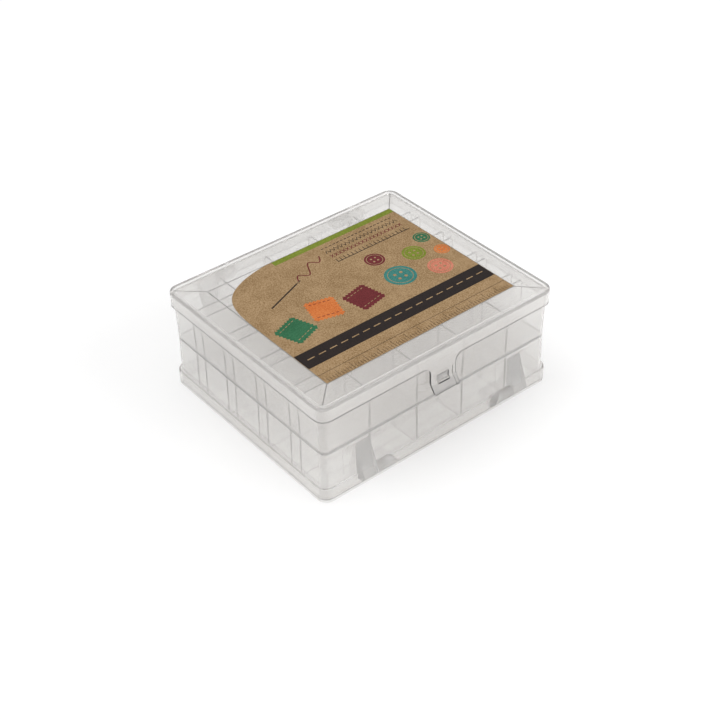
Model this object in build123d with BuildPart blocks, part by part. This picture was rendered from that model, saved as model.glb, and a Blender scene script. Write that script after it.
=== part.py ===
"""Double-sided bobbin storage box, in millimetres.

One moulded tray is open above and below a middle floor, and has a snap-shut lid on each side.
The origin is on the floor in the middle of the base: +X runs along the long side, the upper lid's
latch faces -Y, and +Z is up. The lower half is the upper half turned over about the X axis.
"""
import os
from math import radians, tan

from build123d import *

os.makedirs("parts", exist_ok=True)

# Overall size, over the skirts of the lids
box_length = 176.5
box_width = 150.0
box_height = 70.0

# Lid moulding: a plate with a raised rim, and a skirt all round
lid_wall = 1.4
lid_plate = 1.4
lid_corner_radius = 7.0
lid_edge_radius = 1.6
skirt_height = 10.5
rim_width = 2.7
rim_step = 1.5
panel_drop = 0.3
panel_length = 141.4
panel_width = 114.0
panel_forward = 1.2

# Tray moulding
lid_clearance = 0.4
tray_wall_thickness = 1.3
outer_draft = 1.15
inner_draft = 1.65
floor_thickness = 1.5
mouth_gap = 0.4

# Dividers: single ones across the box, and pairs along it with a narrow slot between the two
cross_count = 4
cross_pitch = 35.0
pair_count = 4
pair_pitch = 31.0
slot_pitch = 8.7
divider_thickness = 1.6
divider_draft = 0.35
divider_drop = 3.3
divider_corner_cut = 1.3

# Hinges: an arm on the tray carries a pin, and a lug on the lid turns on it
knuckle_clearance = 0.2
hinge_drop = 0.3
knuckle_radius = 3.6
pin_radius = 2.0
pin_length = 7.0
pin_clearance = 0.05
pin_end_clearance = 0.3
arm_place = 53.3
arm_width = 10.3
arm_start = 3.0
arm_lip = 0.4
pad_side = 9.2
pad_thickness = 0.3
pad_clearance = 0.5
lug_length = 15.0
lug_gap = 0.3
lug_end_radius = 6.5
lug_root = 7.3
notch_clearance = 0.5

# Latches: a tab hangs from each skirt, with a window over a catch on the tray
tab_width = 19.0
tab_drop = 18.5
tab_flare_drop = 12.2
tab_flare_out = 4.3
tab_root_radius = 5.5
tab_corner_radius = 1.0
tab_border = 2.4
tab_recess = 0.4
window_width = 8.8
window_height = 5.6
window_drop = 8.7
catch_clearance = 0.4
catch_height = 3.4
catch_flat = 1.0
catch_reach = 1.9

# Label on the upper lid: a rectangle with one corner cut to the edge of a leaf
label_thickness = 0.15
label_margin = 0.2
leaf_length = 42.0
leaf_width = 56.0
leaf_shoulder = 9.0
leaf_bulge = 3.5
leaf_rise = 0.12

# Worked out from the sizes above
middle = box_height / 2
skirt_edge = box_height - skirt_height
lid_underside = box_height - rim_step - lid_plate
wall_height = lid_underside - mouth_gap - middle
mouth_length = box_length - 2 * (lid_wall + lid_clearance)
mouth_width = box_width - 2 * (lid_wall + lid_clearance)
mouth_radius = lid_corner_radius - lid_wall - lid_clearance
outer_lean = tan(radians(outer_draft))
inner_lean = tan(radians(inner_draft))
outer_length = mouth_length - 2 * wall_height * outer_lean
outer_width = mouth_width - 2 * wall_height * outer_lean
outer_radius = mouth_radius - wall_height * outer_lean
inner_shift = tray_wall_thickness + wall_height * inner_lean
inner_length = mouth_length - 2 * inner_shift
inner_width = mouth_width - 2 * inner_shift
inner_radius = mouth_radius - inner_shift
hinge_y = mouth_width / 2 + knuckle_clearance + knuckle_radius
hinge_z = skirt_edge - hinge_drop
turn_over = Axis((0, 0, middle), (1, 0, 0))


def save(piece, name):
    """Names a finished piece and writes it."""
    piece.label = name
    export_step(piece, f"parts/{name}.step")


def wall_face(height):
    """How far the middle of the tray's front or back wall stands from the box's centre."""
    return outer_width / 2 + abs(height - middle) * outer_lean


# Hinge pads: thin raised fields that stiffen the wall behind each hinge arm
pad_start = middle + arm_start
pad_end = hinge_z - knuckle_radius - pad_clearance
with BuildPart() as pad:
    with BuildSketch(Plane.YZ.offset(arm_place - pad_side)):
        with BuildLine():
            Polyline(
                (wall_face(pad_start), pad_start),
                (wall_face(pad_start) + pad_thickness, pad_start),
                (wall_face(pad_end) + pad_thickness, pad_end),
                (wall_face(pad_end), pad_end),
                close=True,
            )
        make_face()
    extrude(amount=arm_width + 2 * pad_side)
    mirror(about=Plane.YZ)

# Tray wall: one ring, leaning out a little each way from the parting line at mid height
with BuildPart() as tray_wall:
    with BuildSketch(Plane.XY.offset(middle)):
        RectangleRounded(outer_length, outer_width, outer_radius)
    extrude(amount=wall_height, taper=-outer_draft, both=True)
    with BuildSketch(Plane.XY.offset(middle)):
        RectangleRounded(inner_length, inner_width, inner_radius)
    extrude(amount=wall_height, taper=-inner_draft, both=True, mode=Mode.SUBTRACT)
    add(pad.part)
    add(pad.part.rotate(turn_over, 180))
save(tray_wall.part, "tray_wall")

# Middle floor: closes the ring at mid height
with BuildPart() as tray_floor:
    with BuildSketch(Plane.XY.offset(middle)):
        RectangleRounded(inner_length, inner_width, inner_radius)
    extrude(amount=floor_thickness / 2, taper=-inner_draft, both=True)
save(tray_floor.part, "tray_floor")

# Dividers: upright plates on the floor that thin towards their free edge
floor_top = middle + floor_thickness / 2
divider_top = middle + wall_height - divider_drop
tip_thickness = divider_thickness - 2 * (divider_top - floor_top) * tan(radians(divider_draft))
sections = ((floor_top, divider_thickness), (divider_top, tip_thickness))
row_places = [
    (pair - (pair_count - 1) / 2) * pair_pitch + side * slot_pitch / 2
    for pair in range(pair_count)
    for side in (-1, 1)
]
cross_places = [(number - (cross_count - 1) / 2) * cross_pitch for number in range(cross_count)]


def wall_end(size, height):
    """Where the tray's inner face stands at a height, for an inside of this size at the middle."""
    return size / 2 + (height - middle) * inner_lean


def plate_between(starts, ends, place, cut_from):
    """A plate along X at this Y, with its starts and ends given at the floor and at the free edge.

    The corners of the free edge are cut off where they lie further out than the last value.
    """
    with BuildPart() as plate:
        for (height, thickness), start, end in zip(sections, starts, ends):
            with BuildSketch(Plane.XY.offset(height)):
                with Locations(((start + end) / 2, place)):
                    Rectangle(end - start, thickness)
        loft(ruled=True)
        free_ends = plate.edges().filter_by(Axis.Y).group_by(Axis.Z)[-1]
        at_wall = [edge for edge in free_ends if abs(edge.center().X) > cut_from]
        if at_wall:
            chamfer(at_wall, divider_corner_cut)
    return plate.part


# Row dividers run the whole length of the tray
row_ends = [wall_end(inner_length, height) for height, _ in sections]
for number, place in enumerate(row_places, start=1):
    upper = plate_between([-end for end in row_ends], row_ends, place, 0)
    save(upper, f"upper_row_divider_{number}")
    save(upper.rotate(turn_over, 180), f"lower_row_divider_{number}")

# Cross dividers are cut into a stretch for each row and slot that they cross
last_row = row_places[-1] + divider_thickness
stops = [-1, *range(len(row_places)), len(row_places)]


def side_of(index, height, thickness, facing):
    """Where the row divider of this index, or the wall past the last one, stops a stretch."""
    if index in (-1, len(row_places)):
        return -facing * wall_end(inner_width, height)
    return row_places[index] + facing * thickness / 2


stretches = [
    [side_of(before, height, thickness, 1) for height, thickness in sections]
    + [side_of(after, height, thickness, -1) for height, thickness in sections]
    for before, after in zip(stops, stops[1:])
]
for number, place in enumerate(cross_places, start=1):
    pieces = [plate_between(stretch[:2], stretch[2:], -place, last_row) for stretch in stretches]
    with BuildPart() as cross_divider:
        add([piece.rotate(Axis.Z, 90) for piece in pieces])
    save(cross_divider.part, f"upper_cross_divider_{number}")
    save(cross_divider.part.rotate(turn_over, 180), f"lower_cross_divider_{number}")

# Hinge arms: a wedge grows out of its pad into a knuckle, whose pin points to the middle
arm_end = hinge_z - arm_lip
with BuildPart() as hinge_arm:
    with BuildSketch(Plane.YZ.offset(arm_place)) as arm_side:
        with BuildLine():
            Line(
                (wall_face(pad_start) + pad_thickness, pad_start),
                (wall_face(arm_end) + pad_thickness, arm_end),
            )
            CenterArc((hinge_y, hinge_z), knuckle_radius, 0, 360)
        make_hull()
    extrude(amount=arm_width)
    with BuildSketch(Plane.YZ.offset(arm_place)):
        with Locations((hinge_y, hinge_z)):
            Circle(pin_radius)
    extrude(amount=-pin_length)
right_arm = hinge_arm.part
left_arm = mirror(right_arm, about=Plane.YZ)
save(right_arm, "upper_hinge_arm_right")
save(left_arm, "upper_hinge_arm_left")
save(right_arm.rotate(turn_over, 180), "lower_hinge_arm_right")
save(left_arm.rotate(turn_over, 180), "lower_hinge_arm_left")

# Lid lug: round about the pin, run out into the skirt, with its inner end domed
lug_end = arm_place - lug_gap
with BuildPart() as lug:
    with BuildSketch(Plane.YZ.offset(lug_end)):
        with BuildLine():
            Line((box_width / 2 - lid_wall, skirt_edge), (box_width / 2 - lid_wall, skirt_edge + lug_root))
            CenterArc((hinge_y, hinge_z), knuckle_radius, 0, 360)
        make_hull()
    extrude(amount=-lug_length)
    with BuildSketch(Plane.XZ) as lug_front:
        with Locations((lug_end, hinge_z - knuckle_radius)):
            Rectangle(lug_length, knuckle_radius + hinge_drop + lug_root, align=(Align.MAX, Align.MIN))
        fillet(lug_front.vertices().group_by(Axis.Y)[0].sort_by(Axis.X)[0], lug_end_radius)
    extrude(amount=-box_width, mode=Mode.INTERSECT)
    with BuildSketch(Plane.YZ.offset(lug_end)):
        with Locations((hinge_y, hinge_z)):
            Circle(pin_radius + pin_clearance)
    extrude(amount=-(pin_length - lug_gap + pin_end_clearance), mode=Mode.SUBTRACT)

# Latch tab: hangs from the front of the skirt, then flares out into a finger lip
tab_end = skirt_edge - tab_drop
flare = skirt_edge - tab_flare_drop
tab_face = -box_width / 2
window_top = skirt_edge - window_drop
with BuildPart() as tab:
    with BuildSketch(Plane.YZ):
        with BuildLine():
            Polyline(
                (tab_face, skirt_edge + lid_wall),
                (tab_face, flare),
                (tab_face - tab_flare_out, tab_end),
                (tab_face - tab_flare_out + lid_wall, tab_end),
                (tab_face + lid_wall, flare),
                (tab_face + lid_wall, skirt_edge + lid_wall),
                close=True,
            )
        make_face()
    extrude(amount=tab_width, both=True)
    with BuildSketch(Plane.XZ) as tab_front:
        with Locations((0, tab_end)):
            Rectangle(tab_width, tab_drop, align=(Align.CENTER, Align.MIN))
        with Locations((0, skirt_edge)):
            Rectangle(2 * tab_width, lid_wall, align=(Align.CENTER, Align.MIN))
        fillet(tab_front.vertices().group_by(Axis.Y)[1].sort_by(Axis.X)[1:3], tab_root_radius)
        fillet(tab_front.vertices().group_by(Axis.Y)[0], tab_corner_radius)
    extrude(amount=box_width, mode=Mode.INTERSECT)
    with BuildSketch(Plane.YZ):
        with BuildLine():
            Polyline(
                (tab_face + tab_recess, window_top + tab_border),
                (tab_face + tab_recess, flare),
                (tab_face - tab_flare_out + tab_recess, tab_end),
                (tab_face - 2 * tab_flare_out, tab_end),
                (tab_face - 2 * tab_flare_out, window_top + tab_border),
                close=True,
            )
        make_face()
    extrude(amount=tab_width / 2 - tab_border, both=True, mode=Mode.SUBTRACT)
    with BuildSketch(Plane.XZ):
        with Locations((0, window_top)):
            Rectangle(window_width, window_height, align=(Align.CENTER, Align.MAX))
    extrude(amount=box_width, mode=Mode.SUBTRACT)

# Bevel of the lid's plate, rising from the foot of the rim to the flat panel
recess_length = box_length - 2 * rim_width
recess_width = box_width - 2 * rim_width
recess_radius = lid_corner_radius - rim_width
recess_floor = box_height - rim_step
with BuildPart() as bevel:
    with BuildSketch(Plane.XY.offset(recess_floor)):
        Rectangle(recess_length, recess_width)
    with BuildSketch(Plane.XY.offset(box_height - panel_drop)):
        with Locations((0, -panel_forward)):
            Rectangle(panel_length, panel_width)
    loft(ruled=True)
    with BuildSketch(Plane.XY.offset(recess_floor)):
        RectangleRounded(recess_length, recess_width, recess_radius)
    extrude(amount=rim_step, mode=Mode.INTERSECT)

# Upper lid: plate, rim and skirt, with its lugs and tab; the lower lid is the same moulding
with BuildPart() as upper_lid:
    with BuildSketch(Plane.XY.offset(skirt_edge)):
        RectangleRounded(box_length, box_width, lid_corner_radius)
    extrude(amount=skirt_height)
    fillet(upper_lid.faces().sort_by(Axis.Z)[-1].edges(), lid_edge_radius)
    with BuildSketch(Plane.XY.offset(skirt_edge)):
        RectangleRounded(box_length - 2 * lid_wall, box_width - 2 * lid_wall, lid_corner_radius - lid_wall)
    extrude(amount=lid_underside - skirt_edge, mode=Mode.SUBTRACT)
    with BuildSketch(Plane.XY.offset(recess_floor)):
        RectangleRounded(recess_length, recess_width, recess_radius)
    extrude(amount=rim_step, mode=Mode.SUBTRACT)
    add(bevel.part)
    add(bevel.part.moved(Location((0, 0, -lid_plate))), mode=Mode.SUBTRACT)
    notch_depth = knuckle_radius - hinge_drop + notch_clearance
    notch_centre = arm_place + (arm_width + notch_clearance - lug_gap) / 2
    with BuildSketch(Plane.XZ):
        with Locations((notch_centre, skirt_edge), (-notch_centre, skirt_edge)):
            Rectangle(arm_width + notch_clearance + lug_gap, notch_depth, align=(Align.CENTER, Align.MIN))
    extrude(amount=-box_width, mode=Mode.SUBTRACT)
    add(lug.part)
    add(mirror(lug.part, about=Plane.YZ, mode=Mode.PRIVATE))
    add(tab.part)
save(upper_lid.part, "upper_lid")
save(upper_lid.part.rotate(turn_over, 180), "lower_lid")

# Latch catches: a ramped tooth on the tray's wall, inside each tab's window
catch_low = window_top - window_height + catch_clearance
catch_high = catch_low + catch_height
with BuildPart() as catch:
    with BuildSketch(Plane.YZ):
        with BuildLine():
            Polyline(
                (-wall_face(catch_low), catch_low),
                (-wall_face(catch_low) - catch_reach, catch_low),
                (-wall_face(catch_low) - catch_reach, catch_low + catch_flat),
                (-wall_face(catch_high), catch_high),
                close=True,
            )
        make_face()
    extrude(amount=window_width / 2 - catch_clearance, both=True)
save(catch.part, "upper_latch_catch")
save(catch.part.rotate(turn_over, 180), "lower_latch_catch")

# Paper label: stuck on the upper lid's flat panel
label_right = panel_length / 2 - label_margin
label_back = panel_width / 2 - panel_forward - label_margin
label_front = -panel_width / 2 - panel_forward + label_margin
leaf_start = (-label_right, label_back - leaf_width)
leaf_end = (-label_right + leaf_length, label_back)
leaf_corner = (-label_right + leaf_shoulder, label_back - leaf_shoulder - leaf_bulge)
with BuildPart() as label:
    with BuildSketch(Plane.XY.offset(box_height - panel_drop)):
        with BuildLine():
            Polyline(
                leaf_end,
                (label_right, label_back),
                (label_right, label_front),
                (-label_right, label_front),
                leaf_start,
            )
            Spline(leaf_start, leaf_corner, leaf_end, tangents=((0, 1), (1, leaf_rise)))
        make_face()
    extrude(amount=label_thickness)
save(label.part, "label")
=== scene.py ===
"""Double-sided bobbin storage box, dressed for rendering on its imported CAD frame, in metres."""

from math import cos, pi, radians, sin

import bmesh
import bpy
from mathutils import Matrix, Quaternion, Vector


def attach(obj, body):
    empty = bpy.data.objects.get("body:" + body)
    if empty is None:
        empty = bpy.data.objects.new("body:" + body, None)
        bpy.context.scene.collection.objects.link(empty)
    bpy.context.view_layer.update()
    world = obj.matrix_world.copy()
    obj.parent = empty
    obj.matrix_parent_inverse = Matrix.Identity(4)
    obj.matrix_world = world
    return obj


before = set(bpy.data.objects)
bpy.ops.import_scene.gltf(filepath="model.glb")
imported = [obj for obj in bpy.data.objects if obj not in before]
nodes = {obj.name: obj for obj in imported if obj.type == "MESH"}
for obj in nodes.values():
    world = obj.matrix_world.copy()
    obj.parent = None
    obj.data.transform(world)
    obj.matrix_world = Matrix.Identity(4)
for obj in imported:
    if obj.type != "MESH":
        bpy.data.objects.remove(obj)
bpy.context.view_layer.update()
scene = bpy.context.scene


# Studio: a white sweep that the box stands on, with even light from the room. One broad soft lamp
# hangs high behind the box's left side, and a stronger one stands low before its right side. The
# floor keeps the box's shadow.
class Wire:
    """One output of a shader node, which plain arithmetic can use."""

    def __init__(self, socket):
        self.socket = socket

    @staticmethod
    def node(tree, kind, settings=(), sockets=(), output=0):
        """Adds a node: its settings first, then what each socket holds or is linked to."""
        made = tree.nodes.new("ShaderNode" + kind)
        for name, value in dict(settings).items():
            setattr(made, name, value)
        for name, value in dict(sockets).items():
            if isinstance(value, Wire):
                tree.links.new(value.socket, made.inputs[name])
            else:
                made.inputs[name].default_value = value
        return Wire(made.outputs[output]) if made.outputs else None

    def maths(self, operation, *values):
        """Adds a Math node that works on these values."""
        return Wire.node(self.socket.id_data, "Math", {"operation": operation}, enumerate(values))

    def __add__(self, other):
        return self.maths("ADD", self, other)

    def __mul__(self, other):
        return self.maths("MULTIPLY", self, other)

    def __sub__(self, other):
        return self.maths("SUBTRACT", self, other)

    def __rsub__(self, other):
        return self.maths("SUBTRACT", other, self)

    __radd__ = __add__
    __rmul__ = __mul__

    def larger(self, other):
        """The larger of the two."""
        return self.maths("MAXIMUM", self, other)

    def above(self, low, high):
        """0 below low, 1 above high, and a smooth step between the two."""
        return Wire.node(self.socket.id_data, "MapRange", {"interpolation_type": "SMOOTHSTEP"},
                         {"Value": self, "From Min": low, "From Max": high})

    def along(self, axis):
        """How far this vector reaches along an axis."""
        return Wire.node(self.socket.id_data, "VectorMath", {"operation": "DOT_PRODUCT"},
                         {0: self, 1: axis}, output=1)

    def between(self, colour, other):
        """The first colour where this is 0, and the other where it is 1."""
        return Wire.node(self.socket.id_data, "Mix", {"data_type": "RGBA"},
                         {"Factor": self, 6: colour, 7: other}, output=2)


def any_ray(tree, *kinds):
    """1 for a ray of one of these kinds, and 0 for all others."""
    first, *others = (Wire.node(tree, "LightPath", output=kind) for kind in kinds)
    for other in others:
        first = first.larger(other)
    return first


def seen_directly(tree):
    """1 where the camera, or a mirrored or see-through surface, looks at this."""
    return any_ray(tree, "Is Camera Ray", "Is Glossy Ray", "Is Transmission Ray")


def empty_material(name):
    """A new material, and its node tree with no nodes yet."""
    material = bpy.data.materials.new(name)
    material.use_nodes = True
    material.node_tree.nodes.clear()
    return material, material.node_tree


white = (1, 1, 1, 1)
floor_size = 6.0
floor_colour = (0.86, 0.86, 0.86, 1)
floor_lift = 0.23
floor_paint, tree = empty_material("floor_paint")
painted = Wire.node(tree, "BsdfDiffuse", sockets={"Color": floor_colour})
lift = Wire.node(tree, "Emission", sockets={"Color": white, "Strength": floor_lift})
lifted = Wire.node(tree, "AddShader", sockets={0: painted, 1: lift})
sweep = Wire.node(tree, "MixShader", sockets={0: seen_directly(tree), 1: painted, 2: lifted})
Wire.node(tree, "OutputMaterial", sockets={"Surface": sweep})
bpy.ops.mesh.primitive_plane_add(size=floor_size)
floor = bpy.context.object
floor.name = "floor"
floor.data.materials.append(floor_paint)

room_light = 0.7
scene.world = bpy.data.worlds.new("room")
scene.world.use_nodes = True
tree = scene.world.node_tree
tree.nodes.clear()
lighting, shown = (
    Wire.node(tree, "Background", sockets={"Color": white, "Strength": strength})
    for strength in (room_light, 1.0))
room = Wire.node(tree, "MixShader", sockets={0: seen_directly(tree), 1: lighting, 2: shown})
Wire.node(tree, "OutputWorld", sockets={"Surface": room})

for name, place, width, power, mirrored in (
        ("back_lamp", (-0.7, 0.65, 1.15), 0.9, 4.5, True),
        ("front_lamp", (0.8, -1.2, 0.55), 1.0, 11.5, False)):
    lamp = bpy.data.objects.new(name, bpy.data.lights.new(name, "AREA"))
    lamp.data.shape = "DISK"
    lamp.data.size = width
    lamp.data.energy = power
    lamp.location = place
    lamp.rotation_euler = Vector(place).to_track_quat("Z", "Y").to_euler()
    lamp.visible_glossy = lamp.visible_transmission = mirrored
    scene.collection.objects.link(lamp)
scene.view_settings.view_transform = "Standard"

# Light crosses some forty thin faces on its way through the box
faces_crossed = 40
scene.cycles.max_bounces = faces_crossed
scene.cycles.transmission_bounces = faces_crossed
scene.cycles.transparent_max_bounces = faces_crossed

# Camera: a long lens that looks down on the box from before its near left corner
camera_azimuth = radians(-38.70)
camera_elevation = radians(38.07)
camera_roll = radians(-1.21)
camera_place = (-0.429283, -0.535015, 0.552751)
camera_lens = 70.597
camera = bpy.data.objects.new("camera", bpy.data.cameras.new("camera"))
back = Vector((sin(camera_azimuth) * cos(camera_elevation),
               -cos(camera_azimuth) * cos(camera_elevation), sin(camera_elevation)))
roll = Quaternion((0, 0, 1), camera_roll)
camera.rotation_mode = "QUATERNION"
camera.rotation_quaternion = back.to_track_quat("Z", "Y") @ roll
camera.location = camera_place
camera.data.sensor_width = 36.0
camera.data.lens = camera_lens
scene.collection.objects.link(camera)
scene.camera = camera


# Plastic: natural polypropylene, moulded thin. Most light goes straight through each face, a part
# is scattered there as milky haze, and a long way inside it, as along an edge, darkens it.
refraction = 1.49
clear_tint = (0.995, 0.993, 0.99, 1)
face_tint = (0.992, 0.992, 0.992, 1)
middle_floor = 0.035
root_shade_grey = (0.35, 0.345, 0.34, 1)
skirt_edge = 0.0628
tab_half_width = 0.02236
lug_inside, lug_outside = 0.07523, 0.0759
foot_height = 0.0002
edge_shade_grey = (0.08, 0.08, 0.08, 1)


def moulded_plastic(name, haze, milkiness, roughness, darkening, waviness=0.04,
                    edge_shade_milkiness=0, root_shade_milkiness=0):
    """milkiness is the share of light that a face scatters, darkening what a metre inside takes up.

    The milky share added on the lid's cut edges, and the one added where the middle floor joins the
    wall, are painted shade: both places are painted a darker grey too, for the dark lines that
    refraction gives there, and pass on less of the scattered light.
    """
    material, tree = empty_material(name)
    haze = (*haze, 1)
    place = Wire.node(tree, "TexCoord", output="Object")
    normal = Wire.node(tree, "TexCoord", output="Normal")
    x, y, z = (place.along(axis) for axis in ((1, 0, 0), (0, 1, 0), (0, 0, 1)))
    facing_y, facing_z = (normal.along(axis) for axis in ((0, 1, 0), (0, 0, 1)))
    level = facing_z * facing_z
    drift = Wire.node(tree, "TexNoise", sockets={"Vector": place, "Scale": 30.0, "Detail": 2.0})
    bump = Wire.node(tree, "Bump", sockets={
        "Height": drift, "Strength": waviness, "Distance": 0.0002})
    cloud = drift * (0.3 * milkiness) + 0.85 * milkiness
    passed_on = 0.5
    colour = haze
    if root_shade_milkiness:
        # Painted shade: upright faces within a millimetre of the middle floor are painted dark
        # grey, as a line where the floor joins the wall
        off_floor = (z - middle_floor) * 1000
        root = (1 - off_floor * off_floor).above(0.2, 0.5) * (1 - level).above(0.5, 0.6)
        cloud = root * root_shade_milkiness + cloud
        passed_on = 0.5 - root * 0.3
        colour = root.between(haze, root_shade_grey)
    if edge_shade_milkiness:
        # Painted shade: the cut sides of the upper latch tab, and the lower edges of tab and skirt,
        # are painted dark grey for the dark lines that refraction gives there
        tab_side = (1 - facing_y * facing_y).above(0.85, 0.95)
        tab = tab_side * (tab_half_width ** 2 - x * x).above(0, 0.00001)
        below_skirt = z.above(middle_floor + 0.001, middle_floor + 0.002)
        below_skirt = below_skirt * (skirt_edge - z).above(0, 0.0002)
        edge = tab.larger(level.above(0.7, 0.8)) * below_skirt
        # Painted shade: the foot of the lower lid's rim, which stands on the floor, is painted
        # darker as a dark outline
        foot = level.above(0.7, 0.8) * (foot_height - z).above(0, 0.0001)
        edge = edge + foot * 0.6
        # Painted shade: the hinge lugs and the tab's lip, which stand out past the skirt, are
        # painted greyer, on the lip for the catch's shadow
        bulge_shade = (y * y).above(lug_inside ** 2, lug_outside ** 2)
        cloud = edge * edge_shade_milkiness + bulge_shade * 0.22 + cloud
        dark = edge + bulge_shade * 0.55
        passed_on = 0.5 - dark * 0.5
        colour = dark.between(haze, edge_shade_grey)
    clear = Wire.node(tree, "BsdfPrincipled", sockets={
        "Base Color": clear_tint, "Roughness": drift * 0.06 + (roughness - 0.03),
        "IOR": refraction, "Transmission Weight": 1.0, "Normal": bump})
    bright = Wire.node(tree, "BsdfPrincipled", sockets={
        "Base Color": colour, "Roughness": 0.3, "IOR": refraction, "Normal": bump})
    glowing = Wire.node(tree, "BsdfTranslucent", sockets={"Color": haze, "Normal": bump})
    milky = Wire.node(tree, "MixShader", sockets={0: passed_on, 1: bright, 2: glowing})
    skin = Wire.node(tree, "MixShader", sockets={0: cloud, 1: clear, 2: milky})
    # Light on its way to a surface goes straight through
    lighting = any_ray(tree, "Is Shadow Ray", "Is Diffuse Ray")
    passed = Wire.node(tree, "BsdfTransparent", sockets={"Color": face_tint})
    surface = Wire.node(tree, "MixShader", sockets={0: lighting, 1: skin, 2: passed})
    # Half grey takes up half of the density
    inside = Wire.node(tree, "VolumeAbsorption", sockets={
        "Color": (0.5, 0.5, 0.5, 1), "Density": 2 * darkening})
    Wire.node(tree, "OutputMaterial", sockets={"Surface": surface, "Volume": inside})
    return material


def dress(part, material):
    """Gives a CAD node's object this one material."""
    part.data.materials.clear()
    part.data.materials.append(material)


# Tray: one moulding in frosted polypropylene, with a smooth wall and a middle floor. Thin plates
# divide both sides into rows of compartments with a narrow slot between rows. The floor's root
# shows as a line round the wall, which is painted shade.
tray_plastic = moulded_plastic("tray_plastic", (0.75, 0.73, 0.707), 0.27, roughness=0.12,
                               darkening=9, root_shade_milkiness=0.16)
divider_plastic = moulded_plastic("divider_plastic", (0.86, 0.835, 0.805), 0.08, roughness=0.16,
                                  darkening=6)
# Hinge arms and catches: the tray's plastic painted a darker grey, as painted shade for their
# thicker plastic
hinge_shade_plastic = moulded_plastic("hinge_shade_plastic", (0.56, 0.548, 0.533), 0.36, roughness=0.2,
                                darkening=8)
for name, part in nodes.items():
    if "divider" in name:
        dress(part, divider_plastic)
    elif "arm" in name or "catch" in name:
        dress(part, hinge_shade_plastic)
    elif name.startswith("tray"):
        dress(part, tray_plastic)

# Lids: one moulding, used above and, turned over, below. It is clearer and glossier than the tray,
# its lugs snap on to the pins of the tray's hinge arms, and its tab on to the catch.
lid_plastic = moulded_plastic("lid_plastic", (0.79, 0.765, 0.74), 0.2, roughness=0.09,
                              darkening=14, waviness=0.02, edge_shade_milkiness=0.8)
for name in ("upper_lid", "lower_lid"):
    dress(nodes[name], lid_plastic)

# Creases: where the lid's plate bends up from its rim to the flat panel, the mould leaves a fine
# raised line, along the panel's edges and from its corners to the corners of the rim. The line is
# painted dark grey, as painted shade for the dark line that refraction gives at the bend. In mm.
crease_width = 0.6
crease_height = 0.12
crease_shade_plastic = moulded_plastic("crease_shade_plastic", (0.3, 0.29, 0.28), 0.8, roughness=0.2,
                                 darkening=14)
middle = 35
panel_top = 69.7
foot_top = 68.6
panel = [(-70.7, -58.2), (70.7, -58.2), (70.7, 55.8), (-70.7, 55.8)]
rim_foot = [(-84.3, -71.1), (84.3, -71.1), (84.3, 71.1), (-84.3, 71.1)]
panel = [Vector((*corner, panel_top)) for corner in panel]
rim_foot = [Vector((*corner, foot_top)) for corner in rim_foot]
creases = [*zip(panel, panel[1:] + panel[:1]), *zip(panel, rim_foot)]
for lid, side in (("upper_lid", 1), ("lower_lid", -1)):
    mesh = bmesh.new()
    for start, end in creases:
        across = (end - start).cross(Vector((0, 0, 1))).normalized() * crease_width / 2
        corners = []
        for point in (start, end):
            for offset in (-across, Vector((0, 0, crease_height)), across):
                x, y, z = point + offset
                place = Vector((x, side * y, middle + side * (z - middle)))
                corners.append(mesh.verts.new(place / 1000))
        for face in ((0, 1, 4, 3), (1, 2, 5, 4), (2, 0, 3, 5), (2, 1, 0), (3, 4, 5)):
            mesh.faces.new([corners[i] for i in face])
    bmesh.ops.recalc_face_normals(mesh, faces=mesh.faces)
    crease = bpy.data.objects.new(f"{lid}_creases", bpy.data.meshes.new(f"{lid}_creases"))
    mesh.to_mesh(crease.data)
    mesh.free()
    crease.data.materials.append(crease_shade_plastic)
    scene.collection.objects.link(crease)
    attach(crease, lid)

# Label: unbleached kraft paper with a visible fibre, die-cut with one large round corner and stuck
# to the upper lid's panel.
bare_paper = ((0.255, 0.158, 0.073), (0.455, 0.31, 0.17))


def on_paper(name, colour, pale, roughness):
    """Paper, or ink on it. The colour turns pale where fibres stand up, and along the cut edge."""
    material, tree = empty_material(name)
    place = Wire.node(tree, "TexCoord", output="Object")
    normal = Wire.node(tree, "TexCoord", output="Normal")
    fibre = Wire.node(tree, "TexNoise", sockets={"Vector": place, "Scale": 1400.0, "Detail": 4.0})
    patch = Wire.node(tree, "TexNoise", sockets={"Vector": place, "Scale": 90.0, "Detail": 2.0})
    up = normal.along((0, 0, 1))
    cut_edge = 1 - (up * up).above(0.3, 0.6)
    fleck = (fibre * 0.8 + patch * 0.2).above(0.38, 0.62).larger(cut_edge)
    bump = Wire.node(tree, "Bump", sockets={
        "Height": fibre, "Strength": 0.25, "Distance": 0.00004})
    skin = Wire.node(tree, "BsdfPrincipled", sockets={
        "Base Color": fleck.between((*colour, 1), (*pale, 1)),
        "Roughness": fibre * 0.2 + (roughness - 0.1), "Specular IOR Level": 0.15, "Normal": bump})
    Wire.node(tree, "OutputMaterial", sockets={"Surface": skin})
    return material


dress(nodes["label"], on_paper("kraft_paper", *bare_paper, 0.9))

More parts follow.
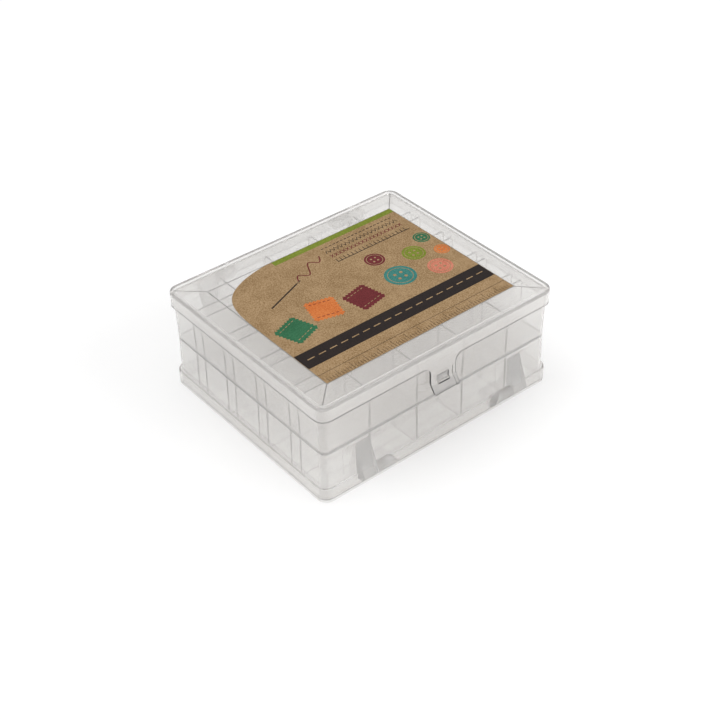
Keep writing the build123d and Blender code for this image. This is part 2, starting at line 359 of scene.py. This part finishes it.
# Print: flat inks laid on the label, drawn as cut shapes a hair above the paper. A dark band with a
# running stitch, an olive edge, the ticks of a tape, and sewing things between them. In mm.
inks = {
    "dark": ((0.010, 0.006, 0.005), (0.022, 0.014, 0.012)),
    "olive": ((0.14, 0.18, 0.012), (0.23, 0.28, 0.035)),
    "brown": ((0.08, 0.05, 0.025), (0.15, 0.09, 0.05)),
    "green": ((0.015, 0.10, 0.04), (0.04, 0.17, 0.08)),
    "orange": ((0.55, 0.13, 0.025), (0.68, 0.22, 0.06)),
    "maroon": ((0.10, 0.010, 0.012), (0.17, 0.025, 0.028)),
    "teal": ((0.025, 0.16, 0.14), (0.06, 0.24, 0.21)),
    "coral": ((0.52, 0.15, 0.09), (0.66, 0.26, 0.17)),
    "bare": bare_paper,
}
ink_names = list(inks)
paper_top = 69.85
ink_height = 0.02
print_mesh = bmesh.new()


def print_shape(ink, outline, layer=0):
    """A flat shape on the label, with later layers a hair above earlier ones."""
    height = paper_top + ink_height * (layer + 1)
    face = print_mesh.faces.new([
        print_mesh.verts.new((x / 1000, y / 1000, height / 1000)) for x, y in outline])
    face.normal_update()
    if face.normal.z < 0:
        face.normal_flip()
    face.material_index = ink_names.index(ink)


def bar(left, front, right, back):
    return [(left, front), (right, front), (right, back), (left, back)]


def disc(x, y, radius):
    return [(x + radius * cos(turn * pi / 24), y + radius * sin(turn * pi / 24))
            for turn in range(48)]


def ribbon(points, width):
    """The outline of a line of this width drawn through the points."""
    left, right = [], []
    for before, here, after in zip([points[0], *points], points, [*points[1:], points[-1]]):
        along = (Vector(after) - Vector(before)).normalized() * width / 2
        left.append((here[0] - along.y, here[1] + along.x))
        right.append((here[0] + along.y, here[1] - along.x))
    return left + right[::-1]


def turned(points, x, y, angle):
    """The points turned about the origin by this angle and then moved to x and y."""
    return [(x + u * cos(angle) - v * sin(angle), y + u * sin(angle) + v * cos(angle))
            for u, v in points]


label_end = 70.4
print_shape("dark", bar(-label_end, -42, label_end, -28))
print_shape("olive", bar(-24, 51.2, label_end, 55.5))
for start in range(-66, 63, 8):
    print_shape("bare", bar(start, -35.4, start + 5, -34.6), 1)

# Ticks along a line, with each fifth one longer
for step in range(69):
    tick = -68.2 + step * 2
    print_shape("brown", bar(tick, -57.9, tick + 0.4, -51.5 if step % 5 == 4 else -54.5))
print_shape("brown", bar(-label_end, -50.2, label_end, -49.8))

# Swatches of cloth, cut with pinking shears and sewn along two sides
tooth = 1.25
notch = 1.2
half_side = 10
teeth = [(half_side - tooth * step, half_side - notch * (step % 2)) for step in range(16)]
swatch = [point for quarter in range(4) for point in turned(teeth, 0, 0, quarter * pi / 2)]
for x, y, tilt, ink, seam in ((-54, -9, 0.35, "green", "bare"),
                              (-29, -3, -0.25, "orange", "maroon"),
                              (-4, -9, 0.2, "maroon", "bare")):
    print_shape(ink, turned(swatch, x, y, tilt))
    for start in range(-7, 6, 3):
        for edge in (-6.5, 6.5):
            stitch = bar(start, edge, start + 1.8, edge + 0.5)
            print_shape(seam, turned(stitch, x, y, tilt), 1)

# Buttons with a turned rim and four holes
for x, y, radius, ink in ((27, -6, 10, "teal"), (52, -14, 8, "coral"), (49, 7, 7.5, "olive"),
                          (26, 17, 6.5, "maroon"), (65, -1, 5, "orange"), (64, 17, 5.5, "green")):
    print_shape(ink, disc(x, y, radius))
    rim = 0.78 * radius
    for start in (0, 16):
        arc = [(x + rim * cos(turn * pi / 16), y + rim * sin(turn * pi / 16))
               for turn in range(start, start + 17)]
        print_shape("bare", ribbon(arc, 0.4), 1)
    off_centre = 0.24 * radius
    for hole_x, hole_y in ((-1, -1), (-1, 1), (1, -1), (1, 1)):
        hole = disc(x + hole_x * off_centre, y + hole_y * off_centre, radius * 0.11)
        print_shape("bare", hole, 1)

# Sampler of stitches: running, zigzag, cross and blanket
for x in range(8, 63, 3):
    print_shape("dark", bar(x, 46.6, x + 1.9, 47.3))
    print_shape("dark", ribbon([(x, 41), (x + 1.5, 44), (x + 3, 41)], 0.55))
    print_shape("maroon", ribbon([(x, 35.5), (x + 2.2, 38.5)], 0.5))
    print_shape("maroon", ribbon([(x, 38.5), (x + 2.2, 35.5)], 0.5), 1)
    print_shape("dark", bar(x, 29.5, x + 3.1, 30.1))
    print_shape("dark", bar(x, 29.5, x + 0.5, 32.8), 1)

# Needle, with a thread that loops away from its eye
print_shape("dark", ribbon([(-52, 17), (-50, 17.8), (-24, 28.2), (-22, 29)], 1.0))
print_shape("bare", ribbon([(-25.5, 27.6), (-23, 28.6)], 0.4), 1)
thread = [(-23.5 + 26 * step / 60, 28.4 + 14 * step / 60 + 3.5 * sin(step * pi / 15))
          for step in range(61)]
for start in range(0, 60, 4):
    print_shape("maroon", ribbon(thread[start:start + 5], 0.8))

label_print = bpy.data.objects.new("label_print", bpy.data.meshes.new("label_print"))
print_mesh.to_mesh(label_print.data)
print_mesh.free()
for name, (colour, pale) in inks.items():
    label_print.data.materials.append(on_paper(f"ink_{name}", colour, pale, 0.6))
scene.collection.objects.link(label_print)
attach(label_print, "upper_lid")
